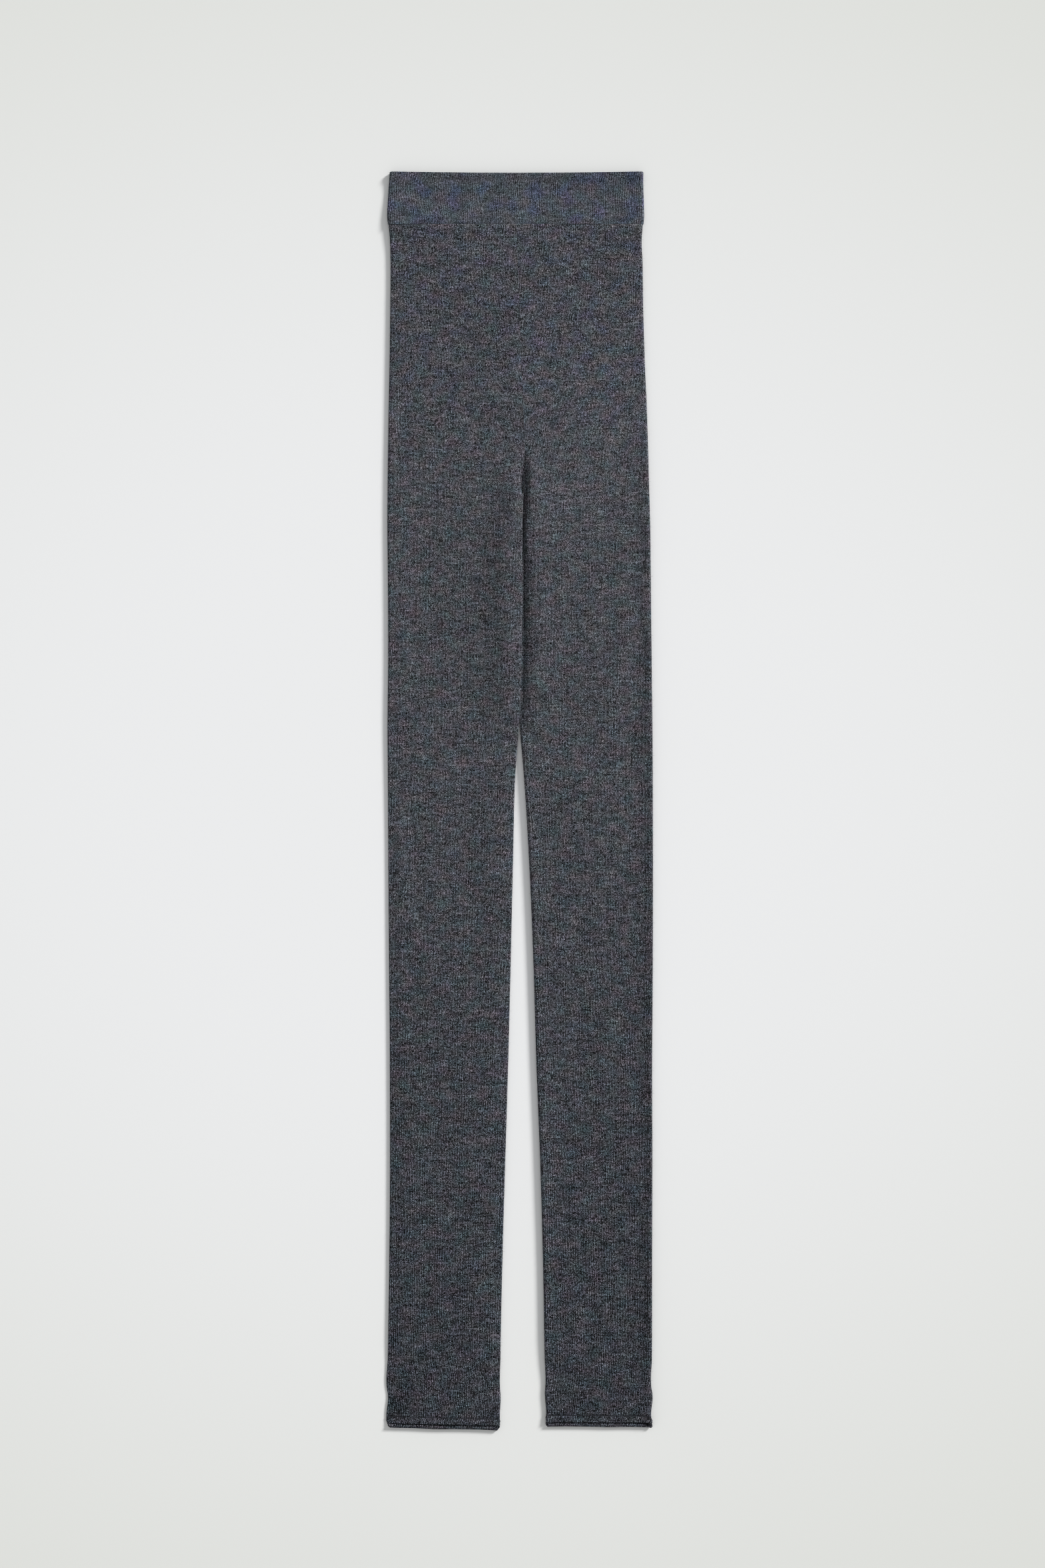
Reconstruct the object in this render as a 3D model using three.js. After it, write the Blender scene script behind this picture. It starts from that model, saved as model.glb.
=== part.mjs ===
// A pair of fine-knit merino wool leggings, laid flat on their back as they would be on a table.
// Frame: millimetres, +X towards the wearer's left, +Y towards the waist, +Z up.
// The origin is at the centre of the garment's outline, on the surface that it lies on.
//
// Each leg is one shaped knit panel. Above the crotch it is a sheet folded over at the hip, whose two free edges
// meet the other panel at the centre front and the centre back. Below the crotch it closes to a flat tube.
// The right leg's inner edge lies over the left leg's inner edge for the upper part of the thigh.

import * as THREE from "three";

// ---- driving dimensions ----
const LENGTH = 1020; // waist edge to the lowest hem corner
const BAND_HEIGHT = 42.6; // waistband
const HEM_HEIGHT = 5.5; // turned hem at each ankle
const HEM_STAGGER = 3.8; // how far the back of each ankle shows below its front
const SEAM_GAP = 0.3; // air left between neighbouring pieces
const HEM_GAP = 0.5; // the same above a hem, where the edge steps from front to back

const CLOTH = 1.2; // body knit
const BAND_CLOTH = 2.0; // two plies
const HEM_CLOTH = 1.5; // two plies
const FLAT = 3.6; // front and back of a leg, pressed flat
const PRESSED = 0.7; // how much of that goes where the other leg lies on top
const CLEARANCE = 0.35; // air between the leg above and the leg below

const CROTCH = 233; // distance of the crotch below the waist edge
const CLOSING = 7; // length over which the two free edges of a panel turn in to meet at the crotch

// ---- the outline, in distances below the waist edge ----
// outer is the side fold; inner is the centre seam down to the crotch, and the inseam's fold below it.
const RIGHT_LEG = [
  { down: 43, outer: -106.3, inner: -2.7 },
  { down: 55, outer: -105.2, inner: -2.3 },
  { down: 77, outer: -104.7, inner: -1.6 },
  { down: 131, outer: -105.2, inner: 0.2 },
  { down: 185, outer: -106.1, inner: 2.2 },
  { down: 233, outer: -106.9, inner: 4.1 },
  { down: 248, outer: -107.1, inner: 4.0 },
  { down: 262, outer: -107.2, inner: 3.1 },
  { down: 290, outer: -107.3, inner: 2.3 },
  { down: 347, outer: -106.8, inner: 2.3 },
  { down: 401, outer: -106.7, inner: 1.2 },
  { down: 446, outer: -107.2, inner: -0.4 },
  { down: 482, outer: -107.0, inner: -3.1 },
  { down: 509, outer: -106.8, inner: -4.2 },
  { down: 617, outer: -106.1, inner: -6.7 },
  { down: 725, outer: -105.3, inner: -9.4 },
  { down: 833, outer: -105.3, inner: -12.6 },
  { down: 941, outer: -106.6, inner: -15.4 },
  { down: 1010, outer: -108.0, inner: -15.8 },
  { down: 1020, outer: -107.0, inner: -16.6 },
];
const LEFT_LEG = [
  { down: 43, outer: 99.8, inner: -2.4 },
  { down: 55, outer: 98.9, inner: -2.0 },
  { down: 77, outer: 99.8, inner: -1.3 },
  { down: 131, outer: 100.6, inner: 0.5 },
  { down: 185, outer: 102.9, inner: 2.5 },
  { down: 233, outer: 104.4, inner: 4.6 },
  { down: 248, outer: 104.8, inner: 4.5 },
  { down: 262, outer: 105.2, inner: 3.5 },
  { down: 290, outer: 105.9, inner: -4.6 },
  { down: 347, outer: 106.5, inner: -5.0 },
  { down: 401, outer: 107.1, inner: -1.6 },
  { down: 446, outer: 107.6, inner: -0.1 },
  { down: 482, outer: 107.9, inner: 2.8 },
  { down: 509, outer: 108.0, inner: 5.0 },
  { down: 617, outer: 108.1, inner: 10.3 },
  { down: 725, outer: 107.4, inner: 13.6 },
  { down: 833, outer: 107.6, inner: 17.7 },
  { down: 941, outer: 107.1, inner: 20.0 },
  { down: 1008, outer: 107.6, inner: 21.1 },
  { down: 1018, outer: 106.7, inner: 22.4 },
];
const BAND = [
  { down: 0, outer: -105.2, inner: 100.1, thick: 4.5 },
  { down: 14, outer: -106.2, inner: 100.2, thick: 4.5 },
  { down: 35, outer: -107.3, inner: 100.8, thick: 4.9 },
  { down: 42.6, outer: -106.7, inner: 100.2, thick: 5.0 },
];
const WAIST_DIP = 1.1; // the waist edge hangs this far below its corners at the middle

// ---- one value between the rows of a table, on a smooth curve ----
function between(table, column, down) {
  const last = table.length - 1;
  if (down <= table[0].down) return table[0][column];
  if (down >= table[last].down) return table[last][column];
  const k = table.findIndex((row) => row.down > down) - 1;
  const slope = (i) => {
    const a = table[Math.max(i - 1, 0)];
    const b = table[Math.min(i + 1, last)];
    return (b[column] - a[column]) / (b.down - a.down);
  };
  const [a, b] = [table[k], table[k + 1]];
  const span = b.down - a.down;
  const t = (down - a.down) / span;
  const rise = t * t * (3 - 2 * t);
  return (
    a[column] * (1 - rise) +
    b[column] * rise +
    span * (slope(k) * t * (1 - t) ** 2 - slope(k + 1) * t * t * (1 - t))
  );
}

// 0 before start, 1 after end, smooth between; start may be the larger of the two.
function ease(value, start, end) {
  const t = THREE.MathUtils.clamp((value - start) / (end - start), 0, 1);
  return t * t * (3 - 2 * t);
}

// ---- how thick the flat leg is, and where its surfaces lie ----
// The legs lie on each other from just below the crotch to where they part.
const overlap = (down) => ease(down, 240, 269) * ease(down, 466, 422);

// The knit is thicker where it joins the waistband.
const flat = (down) => FLAT + 0.6 * ease(down, 70, 43);

// A shallow valley follows the centre front down into the crotch, and deepens there.
const valley = (down) => 0.75 * ease(down, 195, 235) * ease(down, 275, 250);

const rightLeg = {
  table: RIGHT_LEG,
  side: 1, // its inner edge is on its +X side
  bottom(x, down) {
    const underneath = between(LEFT_LEG, "inner", down);
    const climb = ease(x, underneath - 20, underneath - 1);
    return (FLAT - PRESSED + CLEARANCE) * climb * overlap(down);
  },
  top(x, down) {
    const edge = between(RIGHT_LEG, "inner", down);
    const dip = valley(down) * ease(x, edge - 7, edge - 1);
    return this.bottom(x, down) + flat(down) - dip;
  },
};

const leftLeg = {
  table: LEFT_LEG,
  side: -1,
  bottom: () => 0,
  top(x, down) {
    const cover = between(RIGHT_LEG, "inner", down);
    const pressed = PRESSED * overlap(down) * ease(x, cover + 12, cover + 1);
    const edge = between(LEFT_LEG, "inner", down);
    const dip = valley(down) * ease(x, edge + 4, edge + 1);
    return flat(down) - Math.max(pressed, dip);
  },
};

// ---- one ring round a piece: the middle line of the cloth, with the direction that faces out ----
const ACROSS = [0, 0.035, 0.07, 0.12, 0.18, 0.25, 0.36, 0.66, 1]; // shares of the width, from the inner edge
const FOLD_STEPS = 4;
const TIP_STEPS = 3;

// closed is 0 where the inner ends are cut edges at the centre seam, and 1 where they meet in a fold.
function ring({ outer, inner, side, top, bottom, cloth, closed }) {
  const half = cloth / 2;
  const radius = (x) => (top(x) - bottom(x)) / 2 - half;
  const outerR = radius(outer);
  const outerX = outer + side * (outerR + half);
  const innerR = radius(inner);
  const innerX = inner - side * (innerR + half);
  const frontZ = (x) => top(x) - half;
  const backZ = (x) => bottom(x) + half;

  const tip = (sign, z) =>
    Array.from({ length: TIP_STEPS }, (_, i) => {
      const t = 1 - i / TIP_STEPS;
      const turn = (t * Math.PI) / 2;
      const open = (innerR + half) * t;
      const folded = innerR * Math.sin(turn);
      return new THREE.Vector2(
        innerX + side * THREE.MathUtils.lerp(open, folded, closed),
        z - sign * closed * innerR * (1 - Math.cos(turn)),
      );
    });
  const front = ACROSS.map((share) => {
    const x = THREE.MathUtils.lerp(innerX, outerX, share);
    return new THREE.Vector2(x, frontZ(x));
  });
  const fold = Array.from({ length: FOLD_STEPS - 1 }, (_, i) => {
    const turn = ((i + 1) / FOLD_STEPS) * Math.PI;
    return new THREE.Vector2(
      outerX - side * outerR * Math.sin(turn),
      (frontZ(outerX) + backZ(outerX)) / 2 + outerR * Math.cos(turn),
    );
  });
  const back = ACROSS.map((share) => {
    const x = THREE.MathUtils.lerp(innerX, outerX, share);
    return new THREE.Vector2(x, backZ(x));
  }).reverse();
  const path = [
    ...tip(1, frontZ(innerX)),
    ...front,
    ...fold,
    ...back,
    ...tip(-1, backZ(innerX)).reverse(),
  ];
  const last = path.length - 1;
  return path.map((point, i) => {
    const wraps = closed === 1 && (i === 0 || i === last);
    const before = path[wraps ? last - 1 : Math.max(i - 1, 0)];
    const after = path[wraps ? 1 : Math.min(i + 1, last)];
    const along = after.clone().sub(before).normalize();
    const out = new THREE.Vector2(side * along.y, -side * along.x);
    const low = backZ(point.x);
    const height = (point.y - low) / (frontZ(point.x) - low);
    return { point, out, height };
  });
}

// ---- a closed wall of cloth from a list of rings ----
// Each row is { ring, cloth, closed, drop(x, height) }; drop says how far down the garment a point lies.
function wall(rows) {
  const positions = [];
  const triangles = [];
  const quad = (a, b, c, d) => triangles.push(a, b, c, a, c, d);
  const skins = [1, -1].map((face) =>
    rows.map(({ ring: points, cloth, closed, drop }) => {
      const made = points.map(({ point, out, height }) => {
        const x = point.x + (face * out.x * cloth) / 2;
        const z = point.y + (face * out.y * cloth) / 2;
        positions.push(x, LENGTH / 2 - drop(point.x, height), z);
        return positions.length / 3 - 1;
      });
      if (closed === 1) made[made.length - 1] = made[0];
      return made;
    }),
  );
  const [outside, inside] = skins;
  const columns = outside[0].length - 1;
  for (let i = 0; i < rows.length - 1; i++) {
    for (let j = 0; j < columns; j++) {
      quad(outside[i][j], outside[i][j + 1], outside[i + 1][j + 1], outside[i + 1][j]);
      quad(inside[i][j], inside[i + 1][j], inside[i + 1][j + 1], inside[i][j + 1]);
    }
    if (rows[i].closed < 1) {
      quad(outside[i][0], outside[i + 1][0], inside[i + 1][0], inside[i][0]);
      quad(outside[i][columns], inside[i][columns], inside[i + 1][columns], outside[i + 1][columns]);
    }
  }
  const end = rows.length - 1;
  for (let j = 0; j < columns; j++) {
    quad(outside[0][j], inside[0][j], inside[0][j + 1], outside[0][j + 1]);
    quad(outside[end][j], outside[end][j + 1], inside[end][j + 1], inside[end][j]);
  }
  const used = [...new Set(triangles)];
  const place = new Map(used.map((old, i) => [old, i]));
  return new THREE.BufferGeometry()
    .setAttribute(
      "position",
      new THREE.Float32BufferAttribute(
        used.flatMap((i) => positions.slice(3 * i, 3 * i + 3)),
        3,
      ),
    )
    .setIndex(triangles.map((i) => place.get(i)));
}

const turned = (geometry) => {
  const index = Array.from(geometry.index.array);
  for (let i = 0; i < index.length; i += 3)
    [index[i + 1], index[i + 2]] = [index[i + 2], index[i + 1]];
  return geometry.setIndex(index);
};

// ---- the two legs ----
// Distances below the waist edge at which a leg has a ring: close together where its form changes.
const STRETCHES = [
  { from: BAND_HEIGHT + SEAM_GAP, to: 70, rings: 2 },
  { from: 70, to: 195, rings: 3 },
  { from: 195, to: CROTCH - CLOSING, rings: 2 },
  { from: CROTCH - CLOSING, to: CROTCH, rings: 3 },
  { from: CROTCH, to: 290, rings: 8 },
  { from: 290, to: 400, rings: 3 },
  { from: 400, to: 482, rings: 7 },
  { from: 482, to: 960, rings: 6 },
];

// An ankle's end: the back hangs below the front, and the edge slants towards the inside.
const ANKLES = {
  right: { frontEnd: 1015.2, slant: 2.1 },
  left: { frontEnd: 1013.4, slant: -0.3 },
};

function ankleDrop(leg, ankle, down) {
  const outer = between(leg.table, "outer", down);
  const inner = between(leg.table, "inner", down);
  const amount = ease(down, 940, 1005);
  return (x, height) =>
    down +
    amount * HEM_STAGGER * ease(height, 0.8, 0.2) +
    amount * ankle.slant * ((x - outer) / (inner - outer) - 0.5);
}

function legRow(leg, ankle, down, cloth = CLOTH, extra = 0) {
  const closed = ease(down, CROTCH - CLOSING, CROTCH);
  return {
    ring: ring({
      outer: between(leg.table, "outer", down),
      inner: between(leg.table, "inner", down),
      side: leg.side,
      top: (x) => leg.top(x, down) + extra,
      bottom: (x) => leg.bottom(x, down),
      cloth: CLOTH + extra / 2,
      closed,
    }),
    cloth,
    closed,
    drop: ankleDrop(leg, ankle, down),
  };
}

function legWall(leg, ankle) {
  const seam = ankle.frontEnd - HEM_HEIGHT - HEM_GAP;
  const downs = STRETCHES.flatMap(({ from, to, rings }) =>
    Array.from({ length: rings }, (_, i) => from + ((to - from) * i) / rings),
  );
  downs.push(960, (960 + seam) / 2, seam);
  const made = wall(downs.map((down) => legRow(leg, ankle, down)));
  return leg.side < 0 ? turned(made) : made;
}

// ---- the hem: two plies, rounded where they fold at the ankle's edge ----
function hemWall(leg, ankle) {
  const start = ankle.frontEnd - HEM_HEIGHT;
  const extra = 2 * (HEM_CLOTH - CLOTH);
  const round = HEM_CLOTH / 2;
  const rows = [
    { down: start, cloth: HEM_CLOTH },
    { down: ankle.frontEnd - round, cloth: HEM_CLOTH },
    { down: ankle.frontEnd - 0.35 * round, cloth: 0.76 * HEM_CLOTH },
    { down: ankle.frontEnd, cloth: 0.3 * HEM_CLOTH },
  ];
  const made = wall(rows.map(({ down, cloth }) => legRow(leg, ankle, down, cloth, extra)));
  return leg.side < 0 ? turned(made) : made;
}

// ---- the waistband: a doubled tube, rounded where it folds at the waist edge ----
function bandWall() {
  const round = BAND_CLOTH / 2;
  const rows = [
    { down: 0, cloth: 0.3 * BAND_CLOTH },
    { down: 0.35 * round, cloth: 0.76 * BAND_CLOTH },
    { down: round, cloth: BAND_CLOTH },
    { down: 14, cloth: BAND_CLOTH },
    { down: 28, cloth: BAND_CLOTH },
    { down: 37, cloth: BAND_CLOTH },
    { down: BAND_HEIGHT, cloth: BAND_CLOTH },
  ];
  return wall(
    rows.map(({ down, cloth }) => {
      const outer = between(BAND, "outer", down);
      const inner = between(BAND, "inner", down);
      const thick = between(BAND, "thick", down);
      const dip = (x) => WAIST_DIP * Math.sin((Math.PI * (x - outer)) / (inner - outer)) * ease(down, 20, 0);
      return {
        ring: ring({ outer, inner, side: 1, top: () => thick, bottom: () => 0, cloth: BAND_CLOTH, closed: 1 }),
        cloth,
        closed: 1,
        drop: (x) => down + dip(x),
      };
    }),
  );
}

// ---- the garment ----
const knit = (color, roughness) => new THREE.MeshStandardMaterial({ color, roughness, metalness: 0 });
const CHARCOAL = knit(0x484a50, 0.95);
const CHARCOAL_BAND = knit(0x494c54, 0.95);

const leggings = new THREE.Group();
function add(name, geometry, material) {
  const mesh = new THREE.Mesh(geometry, material);
  mesh.name = name;
  leggings.add(mesh);
}
add("waistband", bandWall(), CHARCOAL_BAND);
add("right_leg", legWall(rightLeg, ANKLES.right), CHARCOAL);
add("left_leg", legWall(leftLeg, ANKLES.left), CHARCOAL);
add("right_hem", hemWall(rightLeg, ANKLES.right), CHARCOAL);
add("left_hem", hemWall(leftLeg, ANKLES.left), CHARCOAL);

export default leggings;
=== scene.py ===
# %% [markdown]
# # A pair of merino wool leggings, laid flat
#
# The garment is fine jersey knit: a doubled waistband, two legs, and a turned hem at each ankle. The packed
# CAD model gives the outline of every piece. Here each solid is replaced by a thin shell of cloth with
# softer folds, and then the knit, the sewing and the wool's fuzz are added. Reading the frame comes first,
# because everything else takes its place from it.

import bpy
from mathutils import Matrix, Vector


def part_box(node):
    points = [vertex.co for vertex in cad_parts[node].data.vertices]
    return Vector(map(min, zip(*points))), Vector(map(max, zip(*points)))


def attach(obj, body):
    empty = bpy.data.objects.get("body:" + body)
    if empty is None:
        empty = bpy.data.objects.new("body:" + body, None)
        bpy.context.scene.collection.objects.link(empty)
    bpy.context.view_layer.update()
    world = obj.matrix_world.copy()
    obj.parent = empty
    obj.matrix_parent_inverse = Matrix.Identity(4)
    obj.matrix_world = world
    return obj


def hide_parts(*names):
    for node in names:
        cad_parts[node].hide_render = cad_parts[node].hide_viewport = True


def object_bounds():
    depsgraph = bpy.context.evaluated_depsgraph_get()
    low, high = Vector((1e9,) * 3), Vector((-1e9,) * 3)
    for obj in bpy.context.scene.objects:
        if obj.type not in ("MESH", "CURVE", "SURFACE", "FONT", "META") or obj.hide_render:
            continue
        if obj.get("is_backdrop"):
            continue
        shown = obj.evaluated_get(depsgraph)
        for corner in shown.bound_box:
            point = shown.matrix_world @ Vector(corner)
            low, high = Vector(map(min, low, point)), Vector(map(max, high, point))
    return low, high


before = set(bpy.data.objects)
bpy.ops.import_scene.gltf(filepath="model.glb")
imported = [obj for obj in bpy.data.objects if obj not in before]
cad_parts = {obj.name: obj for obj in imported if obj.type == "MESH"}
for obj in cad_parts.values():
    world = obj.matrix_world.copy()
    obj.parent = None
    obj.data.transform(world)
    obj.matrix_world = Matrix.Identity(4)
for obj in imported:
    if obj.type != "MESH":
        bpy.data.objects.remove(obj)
cad_low, cad_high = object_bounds()
print("CAD box, metres:", [round(v, 4) for v in (*cad_low, *cad_high)])

# %% [markdown]
# Knitwear is measured in millimetres, and along the garment from the waist edge. So the shapes are worked
# out in those numbers, with x across, "down" along the garment and z up from the table. They turn into
# metres only when a mesh is made.

# %% Units and the tools that every cell shares
import math

import bpy
import numpy as np

MM = 0.001
waist_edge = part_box("waistband")[1].y / MM
scene = bpy.context.scene


def below_waist(y):
    """How far a height y of the frame, in metres, lies below the waist edge, in millimetres."""
    return waist_edge - y / MM


def ease(value, start, end):
    """0 before start, 1 after end, and smooth between. start may be the larger of the two."""
    t = np.clip((value - start) / (end - start), 0, 1)
    return t * t * (3 - 2 * t)


def blend(a, b, share):
    """a where share is 0, and b where it is 1."""
    return a + (b - a) * share


def table(columns, *rows):
    """Rows of values with named columns."""
    return [dict(zip(columns.split(), row)) for row in rows]


def add_object(name, data):
    """A new object in the scene, from a mesh, a light or a camera."""
    made = bpy.data.objects.new(name, data)
    scene.collection.objects.link(made)
    return made


print("waist edge at y =", round(waist_edge, 2), "mm")

# %% [markdown]
# ## The outline
#
# Tracing the pieces again would leave two files with the same numbers, which drift apart. The solids are
# made of rings, one below another, so the outline is read from those: a new ring starts wherever the points
# leave a gap. A smooth curve through the rings' ends then gives the edge at any height.


# %% Read the edges of a solid
def ring_ends(node, least_gap=1.2):
    """One row for each ring of a solid: how far down it lies, its lowest x and its highest x."""
    points = np.array([v.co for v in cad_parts[node].data.vertices]) / MM
    points = points[np.argsort(-points[:, 1])]
    breaks = np.flatnonzero(np.diff(points[:, 1]) < -least_gap) + 1
    rings = np.split(points, breaks)
    return np.array([[waist_edge - r[:, 1].mean(), r[:, 0].min(), r[:, 0].max()] for r in rings])


def curve_through(places, values):
    """A smooth curve through the given values, as a function of the place."""
    slopes = np.gradient(values, places)

    def read(at):
        at = np.clip(at, places[0], places[-1])
        k = np.clip(np.searchsorted(places, at) - 1, 0, len(places) - 2)
        span = places[k + 1] - places[k]
        t = (at - places[k]) / span
        bend = span * t * (1 - t) * (slopes[k] * (1 - t) - slopes[k + 1] * t)
        return blend(values[k], values[k + 1], t * t * (3 - 2 * t)) + bend

    return read


def curve_of(rows, value):
    """A smooth curve through one column of a table, over its column of distances down."""
    return curve_through(*(np.array([row[key] for row in rows]) for key in ("down", value)))


def edges(node):
    """The lower-x edge and the higher-x edge of a solid, as two functions of the distance down."""
    down, low, high = ring_ends(node).T
    return curve_through(down, low), curve_through(down, high)


band_low_x, band_high_x = edges("waistband")
right_outer, right_inner = edges("right_leg")
left_inner, left_outer = edges("left_leg")
for down in (60, 233, 500, 1000):
    print(f"{down} mm down: right leg {right_outer(down):.1f} to {right_inner(down):.1f},",
          f"left leg {left_inner(down):.1f} to {left_outer(down):.1f}")

# %% [markdown]
# ## How the two legs lie
#
# Each leg is one knitted panel, folded at the hip. Above the crotch its two free edges meet the other panel,
# and below it they close to a flat tube. From there to mid-thigh the right leg lies over the left one, and
# presses a crevice into it where its fold rests. A cloth simulation would find such a drape, but these few
# soft steps are known, so formulas place them.

# %% Heights of the flat legs
CLOTH = 0.7
FLAT = 3.6  # front and back of a leg together, with the air between them
THINNEST = 2 * CLOTH + 0.1
BAND_BOTTOM = below_waist(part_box("waistband")[0].y)
CROTCH = 233
CLOSING = 7  # length over which a panel's free edges turn in to meet
CLIMB = 3.25  # how far the upper leg rises to pass over the lower one
CREST = 1.3  # a soft crest on the upper leg, a little inside its fold
SWELL = 1.9  # the lower leg bulges beside the upper one
SEAM_LIFT = 0.65  # the waist seam holds the legs up near it
ANKLE_PRESS = 1.3  # each ankle lies flatter towards its -X side
FINE_RIPPLE, BROAD_RIPPLE = 0.06, 0.36  # unevenness about 19 mm and 95 mm long


def overlap(down):
    """1 where the upper leg lies on the lower one."""
    return ease(down, 236, 262) * ease(down, 468, 424)


def in_pocket(x, down):
    """1 in the pocket where the crotch opens, 0 on the upper leg's lip beside it."""
    lip = blend(0.3 + 0 * down, right_inner(down), ease(down, 246, 284))
    return ease(down, 228, 243) * ease(down, 290, 274) * ease(x, lip - 0.2, lip + 0.7)


def pressed_along(down):
    """Where the lower leg is pressed down beside the upper leg's fold, or beside the cleft."""
    return ease(down, 229, 243) * ease(down, 470, 432)


def ripples(x, down, length, seed, waves=14):
    """Soft random unevenness, mostly between -1 and 1: many waves of about one length."""
    draw = np.random.default_rng(seed)
    total = 0
    for _ in range(waves):
        turn, phase = draw.uniform(0, (math.pi, 2 * math.pi))
        pace = 2 * math.pi / (length * draw.uniform(0.7, 1.5))
        total = total + np.sin(pace * (x * math.cos(turn) + down * math.sin(turn)) + phase)
    return total / math.sqrt(2 * waves)


# The larger soft folds and hollows, given one by one. turn leans a fold towards +X as it goes down.
# side says which leg a fold is on, and 0 is for one that runs across both.
FOLDS = table(
    "side x down across along turn height",
    (0, 8, 150, 62, 95, 0, 1.3),
    (1, -40, 560, 11, 95, 4, -0.8),
    (1, -70, 150, 26, 60, -12, -0.7),
    (1, -62, 770, 13, 70, -3, 0.5),
    (-1, 48, 225, 22, 55, -8, 0.6),
    (-1, 70, 545, 16, 12, 62, 0.4),
    (-1, 52, 700, 12, 85, 3, -0.6),
    (-1, 84, 905, 10, 60, 0, -0.5),
)


def soft_fold(fold, x, down):
    """The height of one fold: a soft ridge, or a trough where its height is below 0."""
    turn = math.radians(fold["turn"])
    right_of, after = x - fold["x"], down - fold["down"]
    across = right_of * math.cos(turn) - after * math.sin(turn)
    along = right_of * math.sin(turn) + after * math.cos(turn)
    return fold["height"] * np.exp(-((across / fold["across"]) ** 2) - (along / fold["along"]) ** 2)


class Leg:
    """One leg: its edges, and the height of its front and back at any place."""

    def __init__(self, name, side, outer, inner, slant, seed):
        self.side = side  # 1 where the inner edge is on the +X side, -1 where it is on the -X side
        self.outer, self.own_inner_edge = outer, inner
        self.name, self.slant, self.seed = name, slant, seed

    def inner(self, down):
        """The centre seam that both panels share down to the crotch, and the leg's own fold below it."""
        shared = (right_inner(down) + left_inner(down)) / 2
        tucked = 0.45 * ease(down, 228, 240) * ease(down, 292, 280) * (self.side < 0)
        return blend(shared, self.own_inner_edge(down) - tucked, ease(down, CROTCH - CLOSING, CROTCH + 4))

    def bottom(self, x, down):
        """The underside: on the table, or climbing over the other leg."""
        if self.side < 0:
            return 0 * x
        underneath = left_inner(down)
        start = underneath - 30 - 15 * ease(down, 330, 410)
        still_low = 1 - in_pocket(x, down) * ease(down, 270, 256)
        return CLIMB * ease(x, start, underneath - 5) * overlap(down) * still_low

    def top(self, x, down):
        """The front's height above the table."""
        from_outer = self.side * (x - self.outer(down))
        from_inner = self.side * (self.inner(down) - x)
        from_low_x = from_outer if self.side > 0 else from_inner
        thick = FLAT + SEAM_LIFT * ease(down, 68, 44)
        thick = thick - ANKLE_PRESS * ease(from_low_x, 34, 4) * ease(down, 940, 990) * ease(down, 1016, 1006)
        thick = thick + self.outer_puff(down) * np.exp(-((from_outer / 7.5) ** 2))
        thick = thick + self.inner_puff(down) * np.exp(-((from_inner / 7) ** 2))
        if self.side > 0:
            along_crest = ease(down, 222, 246) * ease(down, 470, 425)
            thick = thick + CREST * along_crest * np.exp(-(((from_inner - 11) / 9) ** 2))
        inside = ease(from_outer, 0, 12) * blend(1, ease(from_inner, -2, 10), ease(down, 195, 240))
        uneven = FINE_RIPPLE * ripples(x, down, 19, 11) + BROAD_RIPPLE * ripples(x, down, 95, 12)
        thick = thick + inside * uneven
        for fold in FOLDS:
            if fold["side"] in (0, self.side):
                thick = thick + inside * soft_fold(fold, x, down)
        return self.bottom(x, down) + np.maximum(thick - self.dips(x, down, from_inner), THINNEST)

    def outer_puff(self, down):
        """The left side fold stands a little above the middle of the leg, and the right one lies lower."""
        if self.side > 0:
            return -0.4 - 0.8 * ease(down, 430, 560)
        thigh = ease(down, 185, 235) * (1 - 0.6 * ease(down, 430, 560))
        ankle = ease(down, 780, 870)
        return 0.45 + 1.35 * np.maximum(thigh, ankle)

    def inner_puff(self, down):
        """Once the legs lie free, the inseam's fold stands higher on the left leg, and lower on the right."""
        if self.side > 0:
            return -0.8 * ease(down, 440, 540)
        return 0.85 * ease(down, 420, 500)

    def dips(self, x, down, from_inner):
        """What lowers the front: the pocket at the crotch, and the other leg's weight."""
        if self.side > 0:
            return (FLAT - THINNEST + CREST + 0.5) * in_pocket(x, down)
        beside = x - right_inner(down)
        uneven = 0.9 + 0.1 * np.sin(down / 7.3 + 2 * np.sin(down / 23))
        reach = 0.9 + 4.1 * ease(down, 275, 335)
        swell_at = 6 + 5 * ease(down, 272, 320)
        floor_width = 2.4 - 2 * ease(down, 270, 288) + 0.9 * ease(down, 320, 350)
        swell = SWELL + 1.3 * ease(down, 236, 248) * ease(down, 292, 272)
        drop = (FLAT - THINNEST + swell) * uneven * np.exp(-np.maximum(beside - floor_width, 0) / reach)
        return (drop - swell * np.exp(-(((beside - swell_at) / 12) ** 2))) * pressed_along(down)


right = Leg("right", 1, right_outer, right_inner, slant=2.1, seed=11)
left = Leg("left", -1, left_outer, left_inner, slant=-0.3, seed=23)
print("front of the right leg at its fold, 350 mm down:", round(float(right.top(-2.0, 350.0)), 2), "mm up")

# %% [markdown]
# ## A ring round a leg
#
# A flat tube of knit has no sharp crease: at the side the cloth turns in a small half circle. So a ring is
# two nearly straight runs, front and back, joined by round folds. Its columns stand closer together near the
# folds, where the cloth bends most.


# %% Columns and rings
def run(count):
    """Places from 0 to 1, closer together near both ends."""
    t = np.linspace(0, 1, count + 1)
    return (t + (1 - np.cos(math.pi * t)) / 2) / 2


TIP, FRONT, FOLD, BACK, LAST_TIP = range(5)
CLOSE = 0.13  # the share of the front, beside the crevice, that takes a third of its columns
FIRST_RADIUS = 1.9  # a first guess at a fold's radius, which three rounds then make true


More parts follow.
